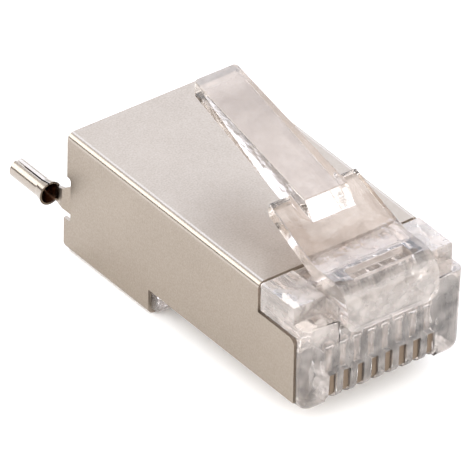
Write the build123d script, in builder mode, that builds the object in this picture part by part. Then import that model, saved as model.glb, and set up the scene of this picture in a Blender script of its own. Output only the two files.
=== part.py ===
from build123d import *
import os
from math import cos, radians, tan

# Shielded 8-position modular plug, ready for crimping.
# X runs across the plug, +Y from the nose to the cable end, +Z to the latch side.
# The origin is on the mid plane, at the foot of the nose face, level with the contact side.

# Envelope over the shield
plug_width = 11.7
plug_length = 23.0
nose_height = 7.05
rear_drop = 1.35

# Shield: one folded sheet
sheet = 0.25
bend_radius = 0.45
shield_front = 4.3
side_edge = 0.45
side_tab_front = 0.78
side_tab_top = 4.95
side_tab_corner = 0.5
wing_start = 14.9
wing_gap = 0.4
skirt_height = 0.95
skirt_length = 0.3
skirt_corner = 0.5

# Tail of the shield: a jogged neck that carries the rolled drain-wire barrel
tail_height = 2.55
neck_drop = 0.15
neck_root = 1.95
neck_width = 1.4
neck_jog = 0.25
neck_bend = 0.5
neck_notch = 0.55
notch_depth = 0.35
notch_corner = 0.2
barrel_bore = 0.75
barrel_start = 23.8
barrel_length = 3.25
barrel_seam = 0.1
seam_turn = 10
flare_length = 0.7
flare_rise = 0.15
flare_lip = 0.13
barrel_overlap = 0.8

# Housing: one clear moulding
shield_play = 0.15
nose_inset = 0.05
nose_lean = 0.3
nose_edge = 0.55
foot_edge = 0.8
comb_edge = 0.9
ledge_depth = 0.92
ledge_drop = 1.1
rear_step = 14.4
housing_inset = 0.2
roof_wall = 0.95
foot_wall = 0.85

# Contact row
contact_count = 8
contact_pitch = 1.02
slot_width = 0.5
slot_end = 5.6
slot_roof = 2.05
wire_bore = 0.9
wire_height = 3.8
wire_front = 1.25
comb_end = 9.2

# Contact blades
blade_thickness = 0.4
blade_front = 0.1
blade_play = 0.08
blade_foot = 0.15
blade_nose = 0.75
tine_count = 3
tine_rise = 0.5
tine_pitch = 1.1
tine_base = 0.7
tine_play = 0.15

# Cable cavity and strain-relief bar
cavity_width = 9.4
cavity_floor = 0.9
funnel_play = 0.15
window_start = 9.7
window_length = 3.6
window_width = 7.8
bar_length = 2.5
bar_height = 1.6
bar_foot = 0.12
bar_gap = 0.15
bar_web = 0.35

# Latch: a rolled root with a lip over the nose face, and a rising arm
hinge_back = 0.5
hinge_drop = 0.3
root_radius = 1.55
root_width = 6.7
root_back = 2.3
root_play = 0.08
root_relief = 0.35
lip_drop = 1.5
lip_corner = 0.8
arm_rise = 21.0
arm_thickness = 0.87
shoulder_reach = 6.9
shoulder_width = 6.3
shoulder_bevel = 0.2
groove_length = 4.3
groove_front = 0.1
groove_width = 0.9
groove_depth = 0.5

# Latch handle, narrower and deeper than the arm
handle_width = 3.15
handle_front = 4.75
handle_ramp = 0.8
handle_lift = 3.7
handle_rise = 12.0
handle_reach = 16.5
handle_keel = 8.1
keel_lift = 2.4
handle_tip = 1.0
handle_edge = 0.3

# Derived planes and sizes
half_width = plug_width / 2
core_half = half_width - sheet
core_top = nose_height - sheet
hinge_height = nose_height - hinge_drop
core_foot = sheet - rear_drop
section_height = nose_height + rear_drop
section_middle = nose_height - section_height / 2
core_height = section_height - 2 * sheet
inner_radius = bend_radius - sheet
nose_half = half_width - nose_inset
collar_end = shield_front - shield_play
collar_foot = side_tab_top + shield_play
pillar_end = side_tab_front - shield_play
housing_end = plug_length - housing_inset
ledge_height = nose_height - ledge_drop
barrel_radius = barrel_bore / 2 + sheet
barrel_x = -core_half - neck_jog - barrel_radius
comb_half = contact_count * contact_pitch / 2
tine_middle = (blade_front + slot_end - blade_play) / 2
bar_end = window_start + bar_gap + bar_length

os.makedirs("parts", exist_ok=True)


def across(y):
    # Upright plane across the plug at y, facing the cable end, with Z as its local Y
    return Plane(origin=(0, y, 0), x_dir=(-1, 0, 0), z_dir=(0, 1, 0))


def contact_x(index):
    return (index - (contact_count - 1) / 2) * contact_pitch


# Side outline of the moulding: leaning nose face, ledge above it and deeper rear body
with BuildSketch(Plane.YZ) as outline:
    with BuildLine():
        Polyline(
            (0, 0),
            (rear_step, 0),
            (rear_step, core_foot),
            (housing_end, core_foot),
            (housing_end, nose_height),
            (ledge_depth, nose_height),
            (ledge_depth, ledge_height),
            (-nose_lean, ledge_height),
            close=True,
        )
    make_face()
with BuildSketch(Plane.YZ) as comb_outline:
    add(outline.sketch_local)
    fillet(vertices().sort_by_distance((0, 0, 0))[0], comb_edge)

with BuildPart() as housing:
    with BuildSketch(Plane.YZ):
        add(outline.sketch_local)
    extrude(amount=nose_half, both=True)
    # Rounded edges along the contact side, running into those of the nose face
    with BuildSketch(across(-nose_lean)):
        with Locations((nose_half - foot_edge, foot_edge)):
            Rectangle(2 * foot_edge, 2 * foot_edge, align=(Align.MIN, Align.MAX))
            Circle(foot_edge, mode=Mode.SUBTRACT)
        mirror(about=Plane.YZ)
    extrude(amount=nose_lean + rear_step, mode=Mode.SUBTRACT)
    nose_face = housing.faces().sort_by(Axis.Y)[0]
    fillet(nose_face.edges().sort_by(Axis.Z)[:-1], nose_edge)
    # The comb between the side blocks is rounded further back than they are
    with BuildSketch(Plane.YZ):
        Rectangle(2 * slot_roof, 2 * slot_roof)
        add(comb_outline.sketch_local, mode=Mode.SUBTRACT)
    extrude(amount=comb_half, both=True, mode=Mode.SUBTRACT)
    # Recess that the shield lies in, round the body and forward along both sides
    with BuildSketch(across(collar_end)):
        with Locations((0, section_middle)):
            Rectangle(2 * plug_width, 2 * section_height)
            RectangleRounded(2 * core_half, core_height, inner_radius, mode=Mode.SUBTRACT)
    extrude(amount=housing_end - collar_end, mode=Mode.SUBTRACT)
    for side in (-1, 1):
        with BuildSketch(Plane.YZ.offset(side * half_width)):
            with Locations(((pillar_end + rear_step) / 2, collar_foot / 2)):
                Rectangle(rear_step - pillar_end, collar_foot)
        extrude(amount=sheet, both=True, mode=Mode.SUBTRACT)
    # Relief under the latch arm and the round seat of the latch root
    with BuildSketch(Plane.YZ):
        with Locations((0, core_top)):
            Rectangle(2 * collar_end, 2 * root_relief)
        with Locations((hinge_back, hinge_height)):
            Circle(root_radius + root_play)
        with Locations((0, hinge_height + nose_height / 2)):
            Rectangle(2 * hinge_back, nose_height)
    extrude(amount=root_width / 2 + root_play, both=True, mode=Mode.SUBTRACT)
    # Contact slots, open to the contact side, the nose face and the wire bores
    with BuildSketch(Plane.XY):
        for index in range(contact_count):
            with Locations((contact_x(index), slot_end / 2)):
                Rectangle(slot_width, slot_end)
    extrude(amount=slot_roof, mode=Mode.SUBTRACT)
    with BuildSketch(Plane.XY.offset(slot_roof)):
        for index in range(contact_count):
            with Locations((contact_x(index), tine_middle)):
                Rectangle(slot_width, tine_count * tine_pitch + 2 * tine_play)
    extrude(amount=wire_height - slot_roof, mode=Mode.SUBTRACT)
    with BuildSketch(across(wire_front)):
        for index in range(contact_count):
            with Locations((contact_x(index), wire_height)):
                Circle(wire_bore / 2)
    extrude(amount=comb_end - wire_front, mode=Mode.SUBTRACT)
    # Cable cavity, narrowing in height towards the comb of wire bores
    funnel_half = wire_bore / 2 + funnel_play
    rear_floor = core_foot + foot_wall
    with BuildSketch(Plane.YZ):
        with BuildLine():
            Polyline(
                (comb_end, wire_height - funnel_half),
                (comb_end, wire_height + funnel_half),
                (bar_end, core_top - roof_wall),
                (plug_length, core_top - roof_wall),
                (plug_length, rear_floor),
                (rear_step + foot_wall, rear_floor),
                (rear_step - foot_wall, cavity_floor),
                (bar_end, cavity_floor),
                close=True,
            )
        make_face()
    extrude(amount=cavity_width / 2, both=True, mode=Mode.SUBTRACT)
    # Window of the strain-relief bar in the contact side
    with BuildSketch(Plane.XY):
        with Locations((0, window_start + window_length / 2)):
            Rectangle(window_width, window_length)
    extrude(amount=wire_height, mode=Mode.SUBTRACT)
    # Strain-relief bar, a wedge hung on a thin web until it is pressed in
    with BuildSketch(Plane.YZ):
        with BuildLine():
            Polyline(
                (window_start - bar_web, bar_foot),
                (bar_end, bar_foot),
                (bar_end, bar_height),
                (bar_end - bar_length / 2, bar_height),
                (window_start + bar_gap, bar_foot + bar_web),
                (window_start - bar_web, bar_foot + bar_web),
                close=True,
            )
        make_face()
    extrude(amount=window_width / 2 - bar_gap, both=True)
housing.part.label = "housing"
export_step(housing.part, "parts/housing.step")


with BuildPart() as tail:
    # Neck seen from above: it leaves the side panel and jogs outward by one sheet
    bend_start = plug_length - notch_depth
    neck_height = tail_height - neck_drop
    with BuildSketch(Plane.XY.offset(neck_height - neck_root)):
        with BuildLine():
            Polyline(
                (-half_width, bend_start - notch_depth),
                (-half_width, bend_start),
                (-half_width - neck_jog, bend_start + neck_bend),
                (-half_width - neck_jog, barrel_start + barrel_overlap),
                (-core_half - neck_jog, barrel_start + barrel_overlap),
                (-core_half - neck_jog, bend_start + neck_bend),
                (-core_half, bend_start),
                (-core_half, bend_start - notch_depth),
                close=True,
            )
        make_face()
    extrude(amount=2 * neck_root)
    # Neck seen from the side: it narrows towards the barrel that it runs into
    with BuildSketch(Plane.YZ):
        with BuildLine():
            Polyline(
                (bend_start - notch_depth, neck_height - neck_root / 2),
                (bend_start, neck_height - neck_root / 2),
                (bend_start + neck_bend, neck_height - neck_width / 2),
                (barrel_start, tail_height - barrel_radius),
                (barrel_start + barrel_overlap, tail_height - sheet),
                (barrel_start + barrel_overlap, tail_height + sheet),
                (barrel_start, tail_height + barrel_bore / 2),
                (bend_start + neck_bend, neck_height + neck_width / 2),
                (bend_start, neck_height + neck_root / 2),
                (bend_start - notch_depth, neck_height + neck_root / 2),
                close=True,
            )
        make_face()
    extrude(amount=plug_width, both=True, mode=Mode.INTERSECT)
    # Barrel: the sheet rolled round the drain wire, flared at its near end
    barrel_plane = Plane(
        origin=(barrel_x, barrel_start, tail_height), x_dir=(0, 1, 0), z_dir=(1, 0, 0)
    )
    barrel_axis = Axis(barrel_plane.origin, (0, 1, 0))
    with BuildSketch(barrel_plane):
        with BuildLine():
            Polyline(
                (0, flare_rise),
                (flare_length, 0),
                (barrel_length, 0),
                (barrel_length, barrel_radius),
                (flare_length, barrel_radius),
                (0, barrel_radius + flare_rise),
                close=True,
            )
        make_face()
    revolve(axis=barrel_axis)
    with BuildSketch(barrel_plane):
        with BuildLine():
            Polyline(
                (0, 0),
                (barrel_length, 0),
                (barrel_length, barrel_bore / 2),
                (flare_length, barrel_bore / 2),
                (0, barrel_radius + flare_rise - flare_lip),
                close=True,
            )
        make_face()
    revolve(axis=barrel_axis, mode=Mode.SUBTRACT)
    # Open seam where the two rolled edges meet on top
    with BuildSketch(across(barrel_start)):
        with Locations(Location((-barrel_x, tail_height), -seam_turn)):
            with Locations((0, barrel_radius)):
                Rectangle(barrel_seam, 2 * barrel_radius)
    extrude(amount=barrel_length, mode=Mode.SUBTRACT)


with BuildPart() as shield:
    # Closed sleeve round the rear body and channel over the nose
    with BuildSketch(across(shield_front)):
        with Locations((0, section_middle)):
            RectangleRounded(plug_width, section_height, bend_radius)
            RectangleRounded(2 * core_half, core_height, inner_radius, mode=Mode.SUBTRACT)
    extrude(amount=plug_length + skirt_length - shield_front)
    with BuildSketch(Plane.YZ):
        with Locations(((shield_front + wing_start) / 2, side_edge - section_height / 2)):
            Rectangle(wing_start - shield_front, section_height)
        with Locations((plug_length + skirt_length, skirt_height + section_height / 2)):
            Rectangle(2 * skirt_length, section_height)
    extrude(amount=plug_width, both=True, mode=Mode.SUBTRACT)
    # Rounded corners at the foot of the skirt
    with BuildSketch(Plane.YZ):
        with Locations((plug_length + skirt_length - skirt_corner, skirt_corner - rear_drop)):
            Rectangle(2 * skirt_corner, 2 * skirt_corner, align=(Align.MIN, Align.MAX))
            Circle(skirt_corner, mode=Mode.SUBTRACT)
    extrude(amount=plug_width, both=True, mode=Mode.SUBTRACT)
    # Seam between the two wings folded under the rear body
    with BuildSketch(Plane.XY.offset(-rear_drop)):
        with Locations((0, (wing_start + barrel_start) / 2)):
            Rectangle(wing_gap, barrel_start - wing_start + skirt_length)
    extrude(amount=2 * sheet, both=True, mode=Mode.SUBTRACT)
    # Side tabs that reach forward beside the contacts
    for side in (-1, 1):
        with BuildSketch(Plane.YZ.offset(side * (half_width - sheet / 2))):
            with Locations(((side_tab_front + wing_start) / 2, (side_edge + side_tab_top) / 2)):
                Rectangle(wing_start - side_tab_front, side_tab_top - side_edge)
            fillet(
                vertices().sort_by_distance((side_tab_front, side_tab_top, 0))[0],
                side_tab_corner,
            )
        extrude(amount=sheet / 2, both=True)
    # Notches that free the neck from the side panel above and below
    with BuildSketch(Plane.YZ.offset(-half_width)):
        with Locations((plug_length, neck_height)):
            RectangleRounded(2 * notch_depth, neck_root + 2 * neck_notch, notch_corner)
        with Locations((plug_length + notch_depth, neck_height)):
            Rectangle(2 * notch_depth, neck_root + 2 * neck_notch)
    extrude(amount=2 * sheet, both=True, mode=Mode.SUBTRACT)
    add(tail.part)
shield.part.label = "shield"
export_step(shield.part, "parts/shield.step")


with BuildPart() as latch:
    root_top = hinge_height + root_radius
    arm_slope = tan(radians(arm_rise))
    arm_depth = arm_thickness / cos(radians(arm_rise))
    shoulder_top = root_top + (shoulder_reach - root_back) * arm_slope
    # Side view of the rolled root, its lip, the block behind it and the rising arm
    with BuildSketch(Plane.YZ):
        with Locations((hinge_back, hinge_height)):
            Circle(root_radius)
        with BuildLine():
            Polyline(
                (hinge_back - root_radius, hinge_height),
                (hinge_back - root_radius, hinge_height - lip_drop),
                (-nose_lean - root_play, hinge_height - lip_drop),
                (-nose_lean - root_play, hinge_height),
                close=True,
            )
        make_face()
        with BuildLine():
            Polyline(
                (hinge_back, root_top),
                (root_back, root_top),
                (shoulder_reach, shoulder_top),
                (shoulder_reach + shoulder_bevel, shoulder_top - arm_depth / 2),
                (shoulder_reach, shoulder_top - arm_depth),
                (root_back, root_top - arm_depth),
                (hinge_back, root_top - arm_depth),
                close=True,
            )
        make_face()
    extrude(amount=root_width / 2, both=True)
    # The arm narrows from the root to the shoulders
    with BuildSketch(Plane.XY):
        with BuildLine():
            Polyline(
                (root_width / 2, hinge_back - root_radius),
                (root_width / 2, root_back),
                (shoulder_width / 2, shoulder_reach + shoulder_bevel),
                (0, shoulder_reach + shoulder_bevel),
                (0, hinge_back - root_radius),
                close=True,
            )
        make_face()
        mirror(about=Plane.YZ)
    extrude(amount=2 * nose_height, mode=Mode.INTERSECT)
    # Rounded lower corners of the lip
    with BuildSketch(across(hinge_back - root_radius)):
        with Locations((root_width / 2 - lip_corner, hinge_height - lip_drop + lip_corner)):
            Rectangle(2 * lip_corner, 2 * lip_corner, align=(Align.MIN, Align.MAX))
            Circle(lip_corner, mode=Mode.SUBTRACT)
        mirror(about=Plane.YZ)
    extrude(amount=root_radius - hinge_back - nose_lean, mode=Mode.SUBTRACT)
    # Groove across the root, where the moulding is thinned to bend
    with BuildSketch(Plane.YZ):
        with BuildLine():
            Polyline(
                (groove_front, root_top + groove_depth),
                (groove_front, root_top - groove_depth),
                (groove_front + groove_width, root_top - groove_depth),
                (groove_front + groove_width, root_top + groove_depth),
                close=True,
            )
        make_face()
    extrude(amount=groove_length / 2, both=True, mode=Mode.SUBTRACT)
    # Handle with its front ramp, keel under the shoulders and tapering depth
    handle_top = hinge_height + handle_lift
    ramp_top = handle_front + handle_ramp
    ramp_foot = root_top + (handle_front - root_back) * arm_slope
    tip_top = handle_top + (handle_reach - ramp_top) * tan(radians(handle_rise))
    with BuildSketch(Plane.YZ):
        with BuildLine():
            Polyline(
                (handle_front, ramp_foot - arm_depth / 2),
                (handle_front, ramp_foot),
                (ramp_top, handle_top),
                (handle_reach, tip_top),
                (handle_reach, tip_top - handle_tip),
                (handle_keel, hinge_height + keel_lift),
                (shoulder_reach - arm_depth, shoulder_top - arm_depth * (1 + arm_slope)),
                close=True,
            )
        make_face()
    extrude(amount=handle_width / 2, both=True)
    tip = latch.faces().sort_by(Axis.Y)[-1]
    fillet(tip.edges().filter_by(Axis.X, reverse=True), handle_edge)
latch.part.label = "latch"
export_step(latch.part, "parts/latch.step")


def make_contact(index):
    # Flat stamped blade with a rounded foot and a row of insulation-piercing tines
    with BuildPart() as contact:
        with BuildSketch(Plane.YZ.offset(contact_x(index))):
            with BuildLine():
                Polyline(
                    (blade_front, blade_foot),
                    (slot_end - blade_play, blade_foot),
                    (slot_end - blade_play, slot_roof),
                    (blade_front, slot_roof),
                    close=True,
                )
            make_face()
            fillet(
                vertices().sort_by_distance((blade_front, blade_foot, 0))[0],
                blade_nose,
            )
            for tine in range(tine_count):
                tine_y = tine_middle + (tine - (tine_count - 1) / 2) * tine_pitch
                with BuildLine():
                    Polyline(
                        (tine_y - tine_base / 2, slot_roof - tine_rise),
                        (tine_y + tine_base / 2, slot_roof - tine_rise),
                        (tine_y + tine_base / 2, slot_roof),
                        (tine_y, slot_roof + tine_rise),
                        (tine_y - tine_base / 2, slot_roof),
                        close=True,
                    )
                make_face()
        extrude(amount=blade_thickness / 2, both=True)
    contact.part.label = f"contact_{index + 1}"
    return contact.part


for index in range(contact_count):
    blade = make_contact(index)
    export_step(blade, f"parts/{blade.label}.step")
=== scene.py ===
from math import asin, copysign, cos, radians, sin, tau

import bmesh
import bpy
from mathutils import Matrix, Vector
from mathutils.bvhtree import BVHTree


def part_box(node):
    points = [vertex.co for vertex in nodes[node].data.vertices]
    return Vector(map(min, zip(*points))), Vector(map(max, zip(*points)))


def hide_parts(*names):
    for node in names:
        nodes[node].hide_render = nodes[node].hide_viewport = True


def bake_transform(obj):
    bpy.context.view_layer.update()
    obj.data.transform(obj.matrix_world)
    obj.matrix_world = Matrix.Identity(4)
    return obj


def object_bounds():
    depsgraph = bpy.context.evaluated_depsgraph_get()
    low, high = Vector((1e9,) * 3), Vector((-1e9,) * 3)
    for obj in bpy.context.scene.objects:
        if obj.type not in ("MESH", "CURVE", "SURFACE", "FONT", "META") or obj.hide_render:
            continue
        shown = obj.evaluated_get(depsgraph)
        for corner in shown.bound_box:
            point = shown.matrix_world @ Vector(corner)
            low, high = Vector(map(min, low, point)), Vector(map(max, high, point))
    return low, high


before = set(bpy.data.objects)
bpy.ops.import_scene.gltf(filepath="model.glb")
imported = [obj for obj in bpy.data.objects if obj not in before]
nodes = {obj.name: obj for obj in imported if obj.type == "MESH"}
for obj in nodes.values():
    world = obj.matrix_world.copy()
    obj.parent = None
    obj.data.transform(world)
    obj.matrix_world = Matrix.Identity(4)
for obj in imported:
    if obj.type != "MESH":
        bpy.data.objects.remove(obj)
cad_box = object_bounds()
MM = 0.001

# Clear moulding: housing and release latch, injected in one shot of polycarbonate. The
# latch grows out of the nose on a rolled root and springs there, so the two CAD solids
# are joined into one piece. All sizes of the piece are in millimetres.

ROOT_CENTRE = (0.5, 6.75)
ROOT_RADIUS = 1.55
ROOT_SEAT = 1.64
ROOT_HALF_WIDTH = 3.44
NOSE_FACE = -0.262
LIP_HALF_WIDTH = 2.5
# The weld fills the gap that the CAD leaves round the root and behind its lip
WELD_FRONT = -0.42
WELD_OVERLAP = 0.02
WELD_FOOT = 5.32
WELD_TOP = 6.95
SEAT_STEPS = 14
# Inside the shield the moulding stands back a little, so that no two faces coincide
SLEEVE_START = 4.2
SLEEVE_SIDE = 5.5
SLEEVE_TOP = 6.7
SLEEVE_FOOT = -1.0
SLEEVE_PLAY = 0.012
# Mouth that opens each contact slot to the front
CONTACTS = range(1, 9)
SLOT_HALF_WIDTH = 0.25
SLOT_ROOF = 2.05
MOUTH_BACK = 0.02
AHEAD_OF_NOSE = -1.0
BELOW_NOSE = -0.5
# Points this close are one, and faces that turn less than this many degrees are one flat
SEAM_GAP = 0.0005
FLAT_ANGLE = 0.5
# Rounding of the mould's edges, the turn in degrees that makes an edge, and how far a
# rounded point may stand off the sharp form
MOULD_EDGE = 0.07
MOULD_EDGE_ANGLE = 32
FURTHEST_OFF = 0.8 * MOULD_EDGE
SMOOTH_ANGLE = 40


def new_object(name, data):
    """Put new data into the scene as an object."""
    item = bpy.data.objects.new(name, data)
    bpy.context.scene.collection.objects.link(item)
    return item


def cad_copy(name, piece_name):
    """Copy a node's shape into a new object in millimetres, with its seams closed."""
    mesh = nodes[name].data.copy()
    mesh.materials.clear()
    mesh.transform(Matrix.Scale(1 / MM, 4))
    mesh.name = piece_name
    form = bmesh.new()
    form.from_mesh(mesh)
    bmesh.ops.remove_doubles(form, verts=form.verts, dist=SEAM_GAP)
    bmesh.ops.dissolve_limit(
        form, angle_limit=radians(FLAT_ANGLE), verts=form.verts, edges=form.edges,
        delimit={"NORMAL"},
    )
    form.to_mesh(mesh)
    form.free()
    return new_object(piece_name, mesh)


def prism(piece_name, outline, half_width):
    """Draw a side outline of (y, z) points out across the plug."""
    form = bmesh.new()
    ring = [form.verts.new((-half_width, y, z)) for y, z in outline]
    face = form.faces.new(ring)
    drawn = bmesh.ops.extrude_face_region(form, geom=[face])
    far = [item for item in drawn["geom"] if isinstance(item, bmesh.types.BMVert)]
    bmesh.ops.translate(form, verts=far, vec=(2 * half_width, 0, 0))
    bmesh.ops.recalc_face_normals(form, faces=form.faces)
    mesh = bpy.data.meshes.new(piece_name)
    form.to_mesh(mesh)
    form.free()
    return new_object(piece_name, mesh)


def settle(piece):
    """Make the modifiers' result the piece's own mesh."""
    bpy.context.view_layer.update()
    shape = piece.evaluated_get(bpy.context.evaluated_depsgraph_get())
    mesh = bpy.data.meshes.new_from_object(shape)
    piece.modifiers.clear()
    piece.data = mesh


def combine(piece, other, operation):
    """Join another solid to the piece, or cut it out of the piece, and use it up."""
    combined = piece.modifiers.new("combined", "BOOLEAN")
    combined.operation = operation
    combined.solver = "EXACT"
    combined.object = other
    settle(piece)
    bpy.data.objects.remove(other)


def break_edges(piece, width, sharpest):
    """Round edges as every mould and press does, where they turn by more than an angle."""
    rounded = piece.modifiers.new("broken_edges", "BEVEL")
    rounded.width = width
    rounded.segments = 2
    rounded.limit_method = "ANGLE"
    rounded.angle_limit = radians(sharpest)
    rounded.use_clamp_overlap = False
    rounded.harden_normals = True


def draw_in(piece, sharp_form, furthest):
    """Bring back the points that fly off the body where rounded edges crowd a corner."""
    for vertex in piece.data.vertices:
        nearest, _, _, off = sharp_form.find_nearest(vertex.co)
        if off > furthest:
            vertex.co = nearest


def keep_flats_flat(piece):
    """Let flat faces keep their own direction, so that only rounded edges shade."""
    weighted = piece.modifiers.new("flat_faces", "WEIGHTED_NORMAL")
    weighted.weight = 100
    weighted.keep_sharp = True


seat_start = asin((ROOT_CENTRE[0] - NOSE_FACE) / ROOT_SEAT)
seat_outline = [(NOSE_FACE, WELD_TOP)]
for step in range(SEAT_STEPS + 1):
    swing = -seat_start + (seat_start + tau / 4) * step / SEAT_STEPS
    seat_outline.append(
        (ROOT_CENTRE[0] + ROOT_SEAT * sin(swing), ROOT_CENTRE[1] - ROOT_SEAT * cos(swing))
    )
seat_outline.append((ROOT_CENTRE[0] + ROOT_RADIUS, WELD_TOP))
lip_outline = [
    (WELD_FRONT, WELD_TOP), (WELD_FRONT, WELD_FOOT), (NOSE_FACE + WELD_OVERLAP, WELD_FOOT),
    (NOSE_FACE + WELD_OVERLAP, WELD_TOP),
]
mouth_outline = [
    (MOUTH_BACK, SLOT_ROOF), (MOUTH_BACK, BELOW_NOSE), (AHEAD_OF_NOSE, BELOW_NOSE),
    (AHEAD_OF_NOSE, SLOT_ROOF),
]

moulding = cad_copy("housing", "clear_moulding")
for vertex in moulding.data.vertices:
    corner = vertex.co
    if corner.y > SLEEVE_START and abs(corner.x) > SLEEVE_SIDE:
        corner.x -= copysign(SLEEVE_PLAY, corner.x)
    if corner.y > SLEEVE_START and corner.z > SLEEVE_TOP:
        corner.z -= SLEEVE_PLAY
    if corner.z < SLEEVE_FOOT:
        corner.z += SLEEVE_PLAY
combine(moulding, prism("seat_filler", seat_outline, ROOT_HALF_WIDTH), "UNION")
combine(moulding, prism("lip_filler", lip_outline, LIP_HALF_WIDTH), "UNION")
combine(moulding, cad_copy("latch", "latch_arm"), "UNION")
# Each contact slot runs out through the leaning nose face
for number in CONTACTS:
    low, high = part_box(f"contact_{number}")
    mouth = prism("slot_mouth", mouth_outline, SLOT_HALF_WIDTH)
    mouth.data.transform(Matrix.Translation(((low[0] + high[0]) / 2 / MM, 0, 0)))
    combine(moulding, mouth, "DIFFERENCE")
sharp_form = BVHTree.FromPolygons(
    [vertex.co.copy() for vertex in moulding.data.vertices],
    [tuple(face.vertices) for face in moulding.data.polygons],
)
break_edges(moulding, MOULD_EDGE, MOULD_EDGE_ANGLE)
settle(moulding)
draw_in(moulding, sharp_form, FURTHEST_OFF)
moulding.data.transform(Matrix.Scale(MM, 4))
moulding.data.shade_smooth()
moulding.data.set_sharp_from_angle(angle=radians(SMOOTH_ANGLE))
keep_flats_flat(moulding)
settle(moulding)


def linear(hex_colour):
    """Turn an sRGB hex colour to linear red, green, blue and alpha."""
    channels = [int(hex_colour[i : i + 2], 16) / 255 for i in (1, 3, 5)]
    return [c / 12.92 if c < 0.04045 else ((c + 0.055) / 1.055) ** 2.4 for c in channels] + [1]


def noise_scale(size):
    """Give the scale of a noise whose spots are size millimetres across."""
    return 1 / (size * MM)


def add(material, kind, links=None, inputs=None, stops=(), **settings):
    """Add one node. Links are {input: (node, output)}, inputs are {input: value}, stops
    are the rising (position, colour) pairs of a ramp, and settings are attributes of the
    node or values of its inputs by their name."""
    node = material.node_tree.nodes.new(kind)
    for key, value in settings.items():
        if hasattr(node, key):
            setattr(node, key, value)
        else:
            node.inputs[key.replace("_", " ")].default_value = value
    for key, value in (inputs or {}).items():
        node.inputs[key].default_value = value
    for index, (position, colour) in enumerate(stops):
        ramp = node.color_ramp.elements
        stop = ramp[index] if index < 2 else ramp.new(position)
        stop.position = position
        stop.color = colour
    for key, (source, output) in (links or {}).items():
        material.node_tree.links.new(source.outputs[output], node.inputs[key])
    return node


def new_material(name):
    """Start an empty node material."""
    material = bpy.data.materials.new(name)
    material.use_nodes = True
    material.node_tree.nodes.clear()
    return material


def dress(piece, material):
    """Give the whole piece one material."""
    piece.data.materials.clear()
    piece.data.materials.append(material)


# Polycarbonate out of a polished mould: glassy and faintly warm. Flow ripples under the
# gloss, 0.7 to 1 mm across, make the thick nose and its edges flash light and dark, while
# the flat arm and handle stay calm. The nose and the handle's end are a little cloudy.
polycarbonate = new_material("clear_moulded_polycarbonate")
place = add(polycarbonate, "ShaderNodeTexCoord")
point = add(polycarbonate, "ShaderNodeSeparateXYZ", {"Vector": (place, "Object")})
ripple = add(
    polycarbonate, "ShaderNodeTexNoise", {"Vector": (place, "Object")},
    Scale=noise_scale(0.9), Detail=3.5,
)
ripple_depth = add(
    polycarbonate, "ShaderNodeMapRange", {"Value": (point, "Z")},
    From_Min=7.5 * MM, From_Max=9.0 * MM, To_Min=0.42, To_Max=0.1,
)
ripple_bump = add(
    polycarbonate, "ShaderNodeBump",
    {"Height": (ripple, "Fac"), "Strength": (ripple_depth, "Result")}, Distance=0.1 * MM,
)
# The handle is painted greyer than the arm, where more plastic lies under it: painted shade
# for the dimmer light through the thick handle
handle_painted_shade = add(
    polycarbonate, "ShaderNodeMapRange", {"Value": (point, "Z")},
    From_Min=9.8 * MM, From_Max=12.0 * MM,
)
melt_colour_and_handle_shade = add(
    polycarbonate, "ShaderNodeMix", {"Factor": (handle_painted_shade, "Result")},
    {6: linear("#F6ECE5"), 7: linear("#CEC3BA")}, data_type="RGBA",
)
# Share of the light that passes, by height in millimetres
HANDLE_TOP = 12.8
LIGHT_PASSING = (
    (4.6, 0.86), (5.6, 0.72), (7.6, 0.72), (8.6, 0.97), (12.3, 0.97), (12.6, 0.6),
)
height_share = add(
    polycarbonate, "ShaderNodeMapRange", {"Value": (point, "Z")}, From_Max=HANDLE_TOP * MM
)
clarity = add(
    polycarbonate, "ShaderNodeValToRGB", {"Fac": (height_share, "Result")},
    stops=[(level / HANDLE_TOP, (share, share, share, 1)) for level, share in LIGHT_PASSING],
)
swirl = add(
    polycarbonate, "ShaderNodeTexNoise", {"Vector": (place, "Object")},
    Scale=noise_scale(1.0), Detail=5.0,
)
flow_marks = add(
    polycarbonate, "ShaderNodeMapRange", {"Value": (swirl, "Fac")},
    From_Min=0.35, From_Max=0.65, To_Min=-0.08, To_Max=0.08,
)
see_through = add(
    polycarbonate, "ShaderNodeMath", {0: (clarity, "Color"), 1: (flow_marks, "Result")},
    operation="ADD", use_clamp=True,
)
haze = add(
    polycarbonate, "ShaderNodeTexNoise", {"Vector": (place, "Object")},
    Scale=noise_scale(0.7), Detail=4.0,
)
haze_roughness = add(
    polycarbonate, "ShaderNodeMapRange", {"Value": (haze, "Fac")},
    From_Min=0.35, From_Max=0.75, To_Min=0.02, To_Max=0.1,
)
clear_plastic = add(
    polycarbonate, "ShaderNodeBsdfPrincipled",
    {
        "Base Color": (melt_colour_and_handle_shade, 2),
        "Roughness": (haze_roughness, "Result"),
        "Transmission Weight": (see_through, "Value"),
        "Normal": (ripple_bump, "Normal"),
    },
    IOR=1.585,
)
add(polycarbonate, "ShaderNodeOutputMaterial", {"Surface": (clear_plastic, "BSDF")})
dress(moulding, polycarbonate)
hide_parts("housing", "latch")
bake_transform(moulding)

# Contact blades: eight pieces stamped from copper-alloy strip, plated with gold and
# pressed into the comb from the contact side. Only their front edges show in the slots.

STAMPED_EDGE = 0.03
METAL_EDGE_ANGLE = 40
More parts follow.
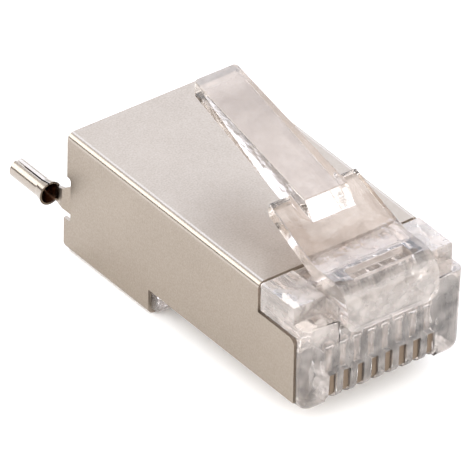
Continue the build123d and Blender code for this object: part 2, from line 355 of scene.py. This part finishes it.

# Gold over nickel on a sheared edge: the edge is a little rough, and its colour is painted
# a dull bronze, painted shade where the slot keeps the light off it. The stripes vary
# where the press dragged.
plating = new_material("gold_plated_copper_alloy")
place = add(plating, "ShaderNodeTexCoord")
drag_marks = add(
    plating, "ShaderNodeTexNoise", {"Vector": (place, "Object")},
    Scale=noise_scale(0.6), Detail=5.0,
)
slot_shaded_gold_tone = add(
    plating, "ShaderNodeValToRGB", {"Fac": (drag_marks, "Fac")},
    stops=((0.0, linear("#716253")), (1.0, linear("#908070"))),
)
gold_roughness = add(
    plating, "ShaderNodeMapRange", {"Value": (drag_marks, "Fac")}, To_Min=0.45, To_Max=0.6
)
gold = add(
    plating, "ShaderNodeBsdfPrincipled",
    {"Base Color": (slot_shaded_gold_tone, "Color"), "Roughness": (gold_roughness, "Result")},
    Metallic=1.0,
)
add(plating, "ShaderNodeOutputMaterial", {"Surface": (gold, "BSDF")})
for number in CONTACTS:
    blade = nodes[f"contact_{number}"]
    dress(blade, plating)
    break_edges(blade, STAMPED_EDGE * MM, METAL_EDGE_ANGLE)

# Shield: one blank of thin copper-alloy sheet, nickel plated and folded round the
# housing. Its tail is rolled into a split barrel for the drain wire, flared at the mouth.

SHEET_EDGE = 0.035
BARREL_AXIS = (-6.475, 0.0, 2.55)
BARREL_MOUTH = 23.8
BORE_RADIUS = 0.375
FLARE_LENGTH = 0.7
FLARE_RISE = 0.27
# Where the bore's painted shade gives way to plating, and where burnish and its painted
# sheen end, in bore radii
BORE_SHADE_FADE = (1.06, 1.2)
BURNISH_FADE = (2.2, 2.6)
BURNISH_LEAD = 0.5
# Side and height at which the flat sheet turns into a long bend
BEND_SIDE = 5.4
BEND_HEIGHT = 6.6
BEND_FADE = 0.1

# Nickel-plated cold-rolled sheet: a satin metal that spreads the studio's light into one
# warm grey, with a fine grain along the rolling direction, a faint sparkle and soft 3 mm
# clouds. Real grain and specks are a few hundredths of a millimetre. They are drawn 0.24
# by 0.48 mm and 0.11 mm, so that they show.
nickel = new_material("nickel_plated_rolled_sheet")
place = add(nickel, "ShaderNodeTexCoord")
point = add(nickel, "ShaderNodeSeparateXYZ", {"Vector": (place, "Object")})
rolling = add(
    nickel, "ShaderNodeMapping", {"Vector": (place, "Object")},
    Scale=(noise_scale(0.24), noise_scale(0.48), noise_scale(0.24)),
)
grain = add(
    nickel, "ShaderNodeTexNoise", {"Vector": (rolling, "Vector")}, Scale=1.0, Detail=3.0
)
grain_bump = add(
    nickel, "ShaderNodeBump", {"Height": (grain, "Fac")}, Strength=0.12, Distance=0.02 * MM
)
satin = add(
    nickel, "ShaderNodeMapRange", {"Value": (grain, "Fac")}, To_Min=0.36, To_Max=0.5
)
cloud = add(
    nickel, "ShaderNodeTexNoise", {"Vector": (place, "Object")},
    Scale=noise_scale(3.3), Detail=4.0,
)
speckle = add(
    nickel, "ShaderNodeTexNoise", {"Vector": (place, "Object")},
    Scale=noise_scale(0.11), Detail=2.0,
)
shade = add(
    nickel, "ShaderNodeMix", {2: (speckle, "Fac"), 3: (cloud, "Fac")}, {0: 0.2},
    data_type="FLOAT",
)
nickel_tone = add(
    nickel, "ShaderNodeValToRGB", {"Fac": (shade, 0)},
    stops=((0.34, linear("#968B7F")), (0.66, linear("#A4998D"))),
)
# Distance from the barrel's axis
from_axis = add(
    nickel, "ShaderNodeVectorMath", {0: (place, "Object")}, {1: Vector(BARREL_AXIS) * MM},
    operation="SUBTRACT",
)
across_barrel = add(
    nickel, "ShaderNodeVectorMath", {0: (from_axis, "Vector")}, {1: (1.0, 0.0, 1.0)},
    operation="MULTIPLY",
)
off_axis = add(
    nickel, "ShaderNodeVectorMath", {0: (across_barrel, "Vector")}, operation="LENGTH"
)
# The bore is painted dark brown: painted shade of the deep hole, over the brown bare alloy
# that the plating bath hardly reached. It opens in the flare.
flare = add(
    nickel, "ShaderNodeMapRange", {"Value": (point, "Y")},
    From_Min=BARREL_MOUTH * MM, From_Max=(BARREL_MOUTH + FLARE_LENGTH) * MM,
    To_Min=FLARE_RISE * MM, To_Max=0.0,
)
bore_reach = add(
    nickel, "ShaderNodeMath", {0: (off_axis, "Value"), 1: (flare, "Result")},
    operation="SUBTRACT",
)
near_bore = add(
    nickel, "ShaderNodeMapRange", {"Value": (bore_reach, "Value")},
    From_Min=BORE_SHADE_FADE[0] * BORE_RADIUS * MM, From_Max=BORE_SHADE_FADE[1] * BORE_RADIUS * MM,
    To_Min=1.0, To_Max=0.0,
)
past_mouth = add(
    nickel, "ShaderNodeMath", {0: (point, "Y")}, {1: BARREL_MOUTH * MM},
    operation="GREATER_THAN",
)
painted_bore_shade = add(
    nickel, "ShaderNodeMath", {0: (near_bore, "Result"), 1: (past_mouth, "Value")},
    operation="MULTIPLY",
)
# Rolling burnishes the barrel, so it mirrors more sharply than the flat sheet does
near_barrel = add(
    nickel, "ShaderNodeMapRange", {"Value": (off_axis, "Value")},
    From_Min=BURNISH_FADE[0] * BORE_RADIUS * MM, From_Max=BURNISH_FADE[1] * BORE_RADIUS * MM,
    To_Min=0.45, To_Max=1.0,
)
ahead_of_mouth = add(
    nickel, "ShaderNodeMapRange", {"Value": (point, "Y")},
    From_Min=(BARREL_MOUTH - BURNISH_LEAD) * MM, From_Max=BARREL_MOUTH * MM,
    To_Min=1.0, To_Max=0.0,
)
rolled = add(
    nickel, "ShaderNodeMath", {0: (near_barrel, "Result"), 1: (ahead_of_mouth, "Result")},
    operation="MAXIMUM",
)
# Folding does the same to the two long bends. They shine as thin lines, partly by a
# painted sheen.
aside = add(nickel, "ShaderNodeMath", {0: (point, "X")}, operation="ABSOLUTE")
past_side = add(
    nickel, "ShaderNodeMapRange", {"Value": (aside, "Value")},
    From_Min=BEND_SIDE * MM, From_Max=(BEND_SIDE + BEND_FADE) * MM,
)
past_height = add(
    nickel, "ShaderNodeMapRange", {"Value": (point, "Z")},
    From_Min=BEND_HEIGHT * MM, From_Max=(BEND_HEIGHT + BEND_FADE) * MM,
)
on_bend = add(
    nickel, "ShaderNodeMath", {0: (past_side, "Result"), 1: (past_height, "Result")},
    operation="MULTIPLY",
)
folded = add(
    nickel, "ShaderNodeMapRange", {"Value": (on_bend, "Value")}, To_Min=1.0, To_Max=0.5
)
worked = add(
    nickel, "ShaderNodeMath", {0: (rolled, "Value"), 1: (folded, "Result")},
    operation="MINIMUM",
)
sheet_roughness = add(
    nickel, "ShaderNodeMath", {0: (satin, "Result"), 1: (worked, "Value")},
    operation="MULTIPLY",
)
# Burnished places are also painted lighter: a painted sheen on the bends and the barrel
burnish_painted_sheen = add(
    nickel, "ShaderNodeMapRange", {"Value": (worked, "Value")},
    From_Min=0.5, To_Min=0.25, To_Max=0.0,
)
plated_tone = add(
    nickel, "ShaderNodeMix", {"Factor": (burnish_painted_sheen, "Result"), 6: (nickel_tone, "Color")},
    {7: linear("#C4BEB8")}, data_type="RGBA",
)
sheet_tone = add(
    nickel, "ShaderNodeMix", {"Factor": (painted_bore_shade, "Value"), 6: (plated_tone, 2)},
    {7: linear("#5C4334")}, data_type="RGBA",
)
sheet_metal = add(
    nickel, "ShaderNodeBsdfPrincipled",
    {
        "Base Color": (sheet_tone, 2),
        "Roughness": (sheet_roughness, "Value"),
        "Normal": (grain_bump, "Normal"),
    },
    Metallic=1.0,
)
add(nickel, "ShaderNodeOutputMaterial", {"Surface": (sheet_metal, "BSDF")})
shield = nodes["shield"]
dress(shield, nickel)
break_edges(shield, SHEET_EDGE * MM, METAL_EDGE_ANGLE)

# Studio floor: a large sheet of matt white paper that the plug lies on. It glows faintly,
# so that it stays white to the edge of the picture and lights the shield's side.

FLOOR_GAP = 0.02
FLOOR_REACH = 1200

# Matt uncoated paper: an even white with a soft mottle. Its real tooth is about 0.1 mm,
# too fine to show here, so it is drawn 1.1 mm.
paper = new_material("matt_white_paper")
place = add(paper, "ShaderNodeTexCoord")
tooth = add(
    paper, "ShaderNodeTexNoise", {"Vector": (place, "Object")},
    Scale=noise_scale(1.1), Detail=4.0,
)
paper_tone = add(
    paper, "ShaderNodeValToRGB", {"Fac": (tooth, "Fac")},
    stops=((0.0, linear("#F4F4F3")), (1.0, linear("#FAFAFA"))),
)
matt = add(
    paper, "ShaderNodeBsdfPrincipled", {"Base Color": (paper_tone, "Color")}, Roughness=0.9,
    Emission_Color=linear("#FFF6EE"), Emission_Strength=0.15,
)
add(paper, "ShaderNodeOutputMaterial", {"Surface": (matt, "BSDF")})
floor_height = cad_box[0][2] - FLOOR_GAP * MM
floor_mesh = bpy.data.meshes.new("floor")
floor_mesh.from_pydata(
    [
        (x * FLOOR_REACH * MM, y * FLOOR_REACH * MM, floor_height)
        for x, y in ((-1, -1), (1, -1), (1, 1), (-1, 1))
    ],
    [], [(0, 1, 2, 3)],
)
floor = new_object("floor", floor_mesh)
dress(floor, paper)

# Studio light: a white light tent with a greyer roof, and six soft boxes round the plug.
# The top of the shield mirrors the rear right box, and its side mirrors the lit floor.

STUDIO_CENTRE = Vector((0, 11.5, 4.0)) * MM
TENT_STRENGTH = 1.2
# Tones of the tent by height, from the horizon at 0 to straight up at 1
TENT_TONES = (
    (0.0, "#D8D6D4"), (0.3, "#F6F4F2"), (0.62, "#FFFFFF"), (0.8, "#FFFFFF"),
    (0.86, "#9A9A9E"), (0.9, "#9A9A9E"), (1.0, "#C8C8CA"),
)

tent = bpy.data.worlds.new("studio")
tent.use_nodes = True
facing = add(tent, "ShaderNodeTexCoord")
height = add(tent, "ShaderNodeSeparateXYZ", {"Vector": (facing, "Generated")})
panels = add(
    tent, "ShaderNodeValToRGB", {"Fac": (height, "Z")},
    stops=[(position, linear(tone)) for position, tone in TENT_TONES],
)
glow = tent.node_tree.nodes["Background"]
glow.inputs["Strength"].default_value = TENT_STRENGTH
tent.node_tree.links.new(panels.outputs["Color"], glow.inputs["Color"])
bpy.context.scene.world = tent
bpy.context.scene.view_settings.view_transform = "Standard"


def soft_box(name, direction, distance, width, height, power, tint="#FFFFFF"):
    """Hang a soft box that faces the plug. Distance and sides in metres, power in watts."""
    light = bpy.data.lights.new(name, "AREA")
    light.shape = "RECTANGLE"
    light.size = width
    light.size_y = height
    light.energy = power
    light.color = linear(tint)[:3]
    lamp = new_object(name, light)
    out = Vector(direction).normalized()
    lamp.location = STUDIO_CENTRE + out * distance
    lamp.rotation_euler = out.to_track_quat("Z", "Y").to_euler()


soft_box("key_box", (-0.35, -0.45, 0.85), 0.45, 0.32, 0.32, 0.7)
soft_box("front_box", (-0.15, -0.95, 0.3), 0.45, 0.25, 0.25, 0.8)
# A little cool, against the warm light from the floor
soft_box("rear_right_box", (0.5, 0.65, 0.58), 0.4, 0.4, 0.36, 0.88, "#D8E6FF")
soft_box("front_right_box", (0.496, -0.752, 0.447), 0.45, 0.2, 0.2, 0.2)
soft_box("top_box", (0.5, -0.05, 0.86), 0.4, 0.16, 0.16, 0.12)
# Lights the floor beside the left side and the barrel
soft_box("rear_left_box", (-0.6, 0.65, 0.4), 0.4, 0.45, 0.26, 0.8)

# Black card: a long strip of felt behind the left side. The camera doesn't see it, and
# it shows only as the dark line in polished metal.

CARD_DIRECTION = Vector((-0.747, 0.651, 0.0)).normalized()
CARD_DISTANCE = 250
CARD_HALF_LENGTH = 160
CARD_FOOT = 10
CARD_TOP = 55

# Black wool felt: it takes the light evenly, with a warm dark mottle. Its nap is about
# 1.2 mm from tuft to tuft.
felt = new_material("black_felt")
place = add(felt, "ShaderNodeTexCoord")
nap = add(
    felt, "ShaderNodeTexNoise", {"Vector": (place, "Object")},
    Scale=noise_scale(1.2), Detail=3.0,
)
felt_tone = add(
    felt, "ShaderNodeValToRGB", {"Fac": (nap, "Fac")},
    stops=((0.0, linear("#2A201A")), (1.0, linear("#3A2E26"))),
)
fibre = add(
    felt, "ShaderNodeBsdfPrincipled", {"Base Color": (felt_tone, "Color")}, Roughness=1.0
)
add(felt, "ShaderNodeOutputMaterial", {"Surface": (fibre, "BSDF")})
card_side = Vector((CARD_DIRECTION.y, -CARD_DIRECTION.x, 0.0)) * CARD_HALF_LENGTH * MM
card_middle = STUDIO_CENTRE + CARD_DIRECTION * CARD_DISTANCE * MM
card_mesh = bpy.data.meshes.new("black_card")
card_mesh.from_pydata(
    [
        card_middle + card_side * end + Vector((0, 0, rise * MM))
        for end, rise in ((-1, CARD_FOOT), (1, CARD_FOOT), (1, CARD_TOP), (-1, CARD_TOP))
    ],
    [], [(0, 1, 2, 3)],
)
card = new_object("black_card", card_mesh)
dress(card, felt)
card.visible_camera = False
card.visible_shadow = False

# Camera: a very long lens at the photograph's viewing angle. One known point of the plug
# and the picture's scale place the frame.

VIEW_AZIMUTH = -37.33
VIEW_ELEVATION = 35.08
VIEW_ROLL = -0.97
LENS = 1200.0
SENSOR = 36.0
PHOTO_SIDE = 470
PIXELS_PER_MM = 17.06
MARK = Vector((0, 11.0, 3.75)) * MM
MARK_PIXEL = (268.68, 241.29)

azimuth = radians(VIEW_AZIMUTH)
elevation = radians(VIEW_ELEVATION)
roll = radians(VIEW_ROLL)
back = Vector((sin(azimuth) * cos(elevation), -cos(azimuth) * cos(elevation), sin(elevation)))
right = Vector((cos(azimuth), sin(azimuth), 0))
upward = back.cross(right)
turned_right = right * cos(roll) - upward * sin(roll)
turned_up = upward * cos(roll) + right * sin(roll)
offset_right = (PHOTO_SIDE / 2 - MARK_PIXEL[0]) / PIXELS_PER_MM * MM
offset_up = (MARK_PIXEL[1] - PHOTO_SIDE / 2) / PIXELS_PER_MM * MM
aim = MARK + turned_right * offset_right + turned_up * offset_up
distance = PHOTO_SIDE / PIXELS_PER_MM * MM * LENS / SENSOR
camera = new_object("camera", bpy.data.cameras.new("camera"))
camera.data.lens = LENS
camera.data.sensor_width = SENSOR
camera.data.clip_start = 0.01
camera.data.clip_end = 10.0
camera.matrix_world = Matrix.Translation(aim + back * distance) @ Matrix(
    (turned_right, turned_up, back)
).transposed().to_4x4()
bpy.context.scene.camera = camera
